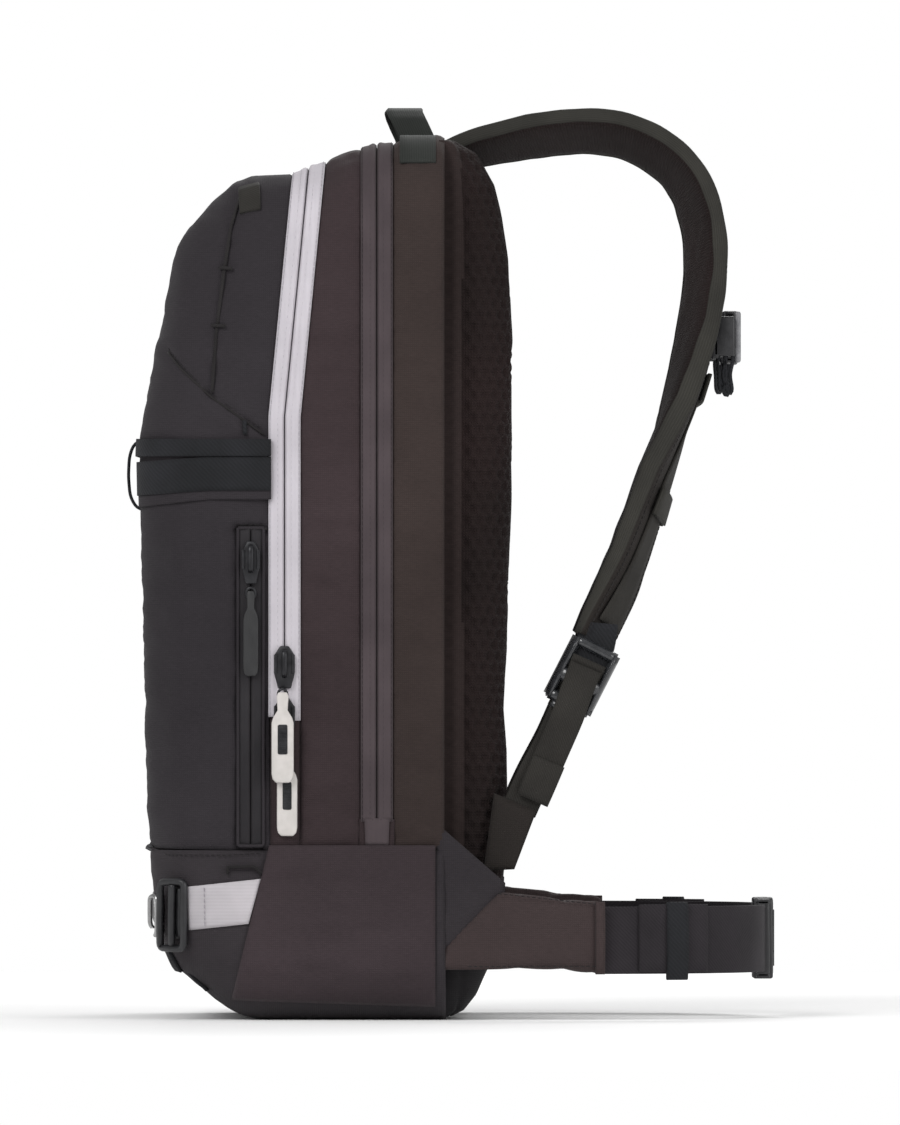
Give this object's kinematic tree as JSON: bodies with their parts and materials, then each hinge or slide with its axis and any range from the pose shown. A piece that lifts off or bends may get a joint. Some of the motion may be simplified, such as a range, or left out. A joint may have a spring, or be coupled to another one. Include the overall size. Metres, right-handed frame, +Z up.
{
  "type": "ski backpack",
  "caption": "Upright ski touring backpack with clamshell front zip, rear access zip, padded mesh back, shoulder harness, sternum strap, hip belt and ski carry straps.",
  "frame": {"origin": "on the ground at the middle of the flat base", "axes": "+Z up, +Y towards the wearer's back, +X to the wearer's right"},
  "size_m": [0.2954, 0.3693, 0.5187],
  "materials": {
    "shell_fabric": "fine rip-stop weave, matt",
    "front_fabric": "fine plain weave, matt",
    "base_fabric": "hard-wearing coated weave",
    "mesh": "open air mesh over foam",
    "strap_foam": "woven face over foam",
    "webbing": "ribbed narrow webbing",
    "lilac_webbing": "ribbed narrow webbing",
    "lilac_zip": "smooth reversed coil zip",
    "dark_zip": "smooth reversed coil zip",
    "pull_rubber": "soft matt moulding",
    "dark_rubber": "soft matt moulding",
    "slider_metal": "satin",
    "buckle_plastic": "fine grain moulding",
    "lock_plastic": "glossy moulding",
    "hook_metal": "polished",
    "stay_metal": "mill finish",
    "sheet_plastic": "smooth sheet"
  },
  "bodies": {
    "pack": {"back_pad": "mesh", "back_sheet": "sheet_plastic", "base_tub": "base_fabric", "frame_stay": "stay_metal", "haul_loop": "webbing", "hip_buckle_socket": "buckle_plastic", "hip_gusset_left": "shell_fabric", "hip_gusset_right": "shell_fabric", "hip_keeper_left": "webbing", "hip_keeper_right": "webbing", "hip_webbing_left": "webbing", "hip_webbing_right": "webbing", "hip_wing_left": "base_fabric", "hip_wing_right": "base_fabric", "lower_front": "front_fabric", "lower_webbing_left": "webbing", "lower_webbing_right": "webbing", "main_zip_rear_tape": "lilac_zip", "middle_gusset": "shell_fabric", "pocket_zip_lower_tape": "dark_zip", "rear_gusset": "shell_fabric", "rear_zip_tape": "dark_zip", "ski_buckle_left": "buckle_plastic", "ski_buckle_right": "buckle_plastic", "ski_lower_strap_left": "lilac_webbing", "ski_lower_strap_right": "lilac_webbing", "strap_anchor_left": "shell_fabric", "strap_anchor_right": "shell_fabric"},
    "front": {"front_shell": "front_fabric", "divider": "front_fabric", "main_zip_front_tape": "lilac_zip", "pocket_zip_upper_tape": "dark_zip", "ski_strap_lower_band": "webbing", "ski_strap_upper_band": "webbing", "front_loop": "webbing", "top_tab": "front_fabric"},
    "zip_slider_low": {"zip_slider_low": "slider_metal"},
    "zip_slider_high": {"zip_slider_high": "slider_metal"},
    "zip_pull_low": {"zip_pull_low": "pull_rubber"},
    "zip_pull_high": {"zip_pull_high": "pull_rubber"},
    "pocket_slider": {"pocket_slider": "slider_metal"},
    "pocket_pull": {"pocket_pull": "dark_rubber"},
    "rear_slider": {"rear_slider": "slider_metal"},
    "rear_pull": {"rear_pull": "dark_rubber"},
    "harness": {"shoulder_strap_right": "strap_foam", "shoulder_strap_left": "strap_foam"},
    "lock_right": {"ladder_lock_right": "lock_plastic"},
    "lock_left": {"ladder_lock_left": "lock_plastic"},
    "sternum": {"sternum_clip_right": "buckle_plastic", "sternum_clip_left": "buckle_plastic", "sternum_webbing_left": "webbing", "sternum_webbing_right": "webbing", "sternum_buckle_socket": "buckle_plastic"},
    "sternum_plug": {"sternum_buckle_plug": "buckle_plastic"},
    "hip_plug": {"hip_buckle_plug": "buckle_plastic"},
    "hook_right": {"ski_hook_right": "hook_metal"},
    "hook_left": {"ski_hook_left": "hook_metal"}
  },
  "joints": [
    {"name": "front_fold", "type": "hinge", "parent": "pack", "child": "front", "pos_m": [0, -0.109, 0.1702], "axis": [1, 0, 0], "range_deg": [0, 75]},
    {"name": "zip_slider_low_slide", "type": "slide", "parent": "pack", "child": "zip_slider_low", "axis": [0, 0, 1], "range_m": [0, 0.055]},
    {"name": "zip_slider_high_slide", "type": "slide", "parent": "zip_slider_low", "child": "zip_slider_high", "axis": [0, 0, 1], "range_m": [0, 0.1]},
    {"name": "zip_pull_low_swing", "type": "hinge", "parent": "zip_slider_low", "child": "zip_pull_low", "pos_m": [0.1432, -0.028, 0.1525], "axis": [1, 0, 0], "range_deg": [-35, 35]},
    {"name": "zip_pull_high_lift", "type": "hinge", "parent": "zip_slider_high", "child": "zip_pull_high", "pos_m": [0.1481, -0.028, 0.188], "axis": [0, -1, 0], "range_deg": [0, 150]},
    {"name": "pocket_slider_slide", "type": "slide", "parent": "front", "child": "pocket_slider", "axis": [0, 0, -1], "range_m": [0, 0.07]},
    {"name": "pocket_pull_lift", "type": "hinge", "parent": "pocket_slider", "child": "pocket_pull", "pos_m": [0.143, -0.047, 0.244], "axis": [0, -1, 0], "range_deg": [0, 85]},
    {"name": "rear_slider_slide", "type": "slide", "parent": "pack", "child": "rear_slider", "axis": [0, 0, 1], "range_m": [0, 0.25]},
    {"name": "rear_pull_lift", "type": "hinge", "parent": "rear_slider", "child": "rear_pull", "pos_m": [-0.143, 0.024, 0.122], "axis": [0, 1, 0], "range_deg": [0, 85]},
    {"name": "harness_swing", "type": "hinge", "parent": "pack", "child": "harness", "pos_m": [0, 0.082, 0.5], "axis": [1, 0, 0], "range_deg": [-6, 15], "deforming": ["lower_webbing_right", "lower_webbing_left"]},
    {"name": "lock_right_tilt", "type": "hinge", "parent": "harness", "child": "lock_right", "pos_m": [0.121, 0.149, 0.2118], "axis": [0, -0.89, 0.456], "range_deg": [0, 35]},
    {"name": "lock_left_tilt", "type": "hinge", "parent": "harness", "child": "lock_left", "pos_m": [-0.121, 0.149, 0.2118], "axis": [0, 0.89, -0.456], "range_deg": [0, 35]},
    {"name": "sternum_height", "type": "slide", "parent": "harness", "child": "sternum", "axis": [0, 0.184, 0.9829], "range_m": [-0.02, 0.02]},
    {"name": "sternum_release", "type": "slide", "parent": "sternum", "child": "sternum_plug", "axis": [1, 0, 0], "range_m": [0, 0.02], "deforming": ["sternum_webbing_right"]},
    {"name": "hip_release", "type": "slide", "parent": "pack", "child": "hip_plug", "axis": [1, 0, 0], "range_m": [0, 0.03], "deforming": ["hip_webbing_right"]},
    {"name": "hook_right_open", "type": "hinge", "parent": "pack", "child": "hook_right", "pos_m": [0.1283, -0.0961, 0.0595], "axis": [0, 0, 1], "range_deg": [0, 50]},
    {"name": "hook_left_open", "type": "hinge", "parent": "pack", "child": "hook_left", "pos_m": [-0.1283, -0.0961, 0.0595], "axis": [0, 0, -1], "range_deg": [0, 50]}
  ]
}
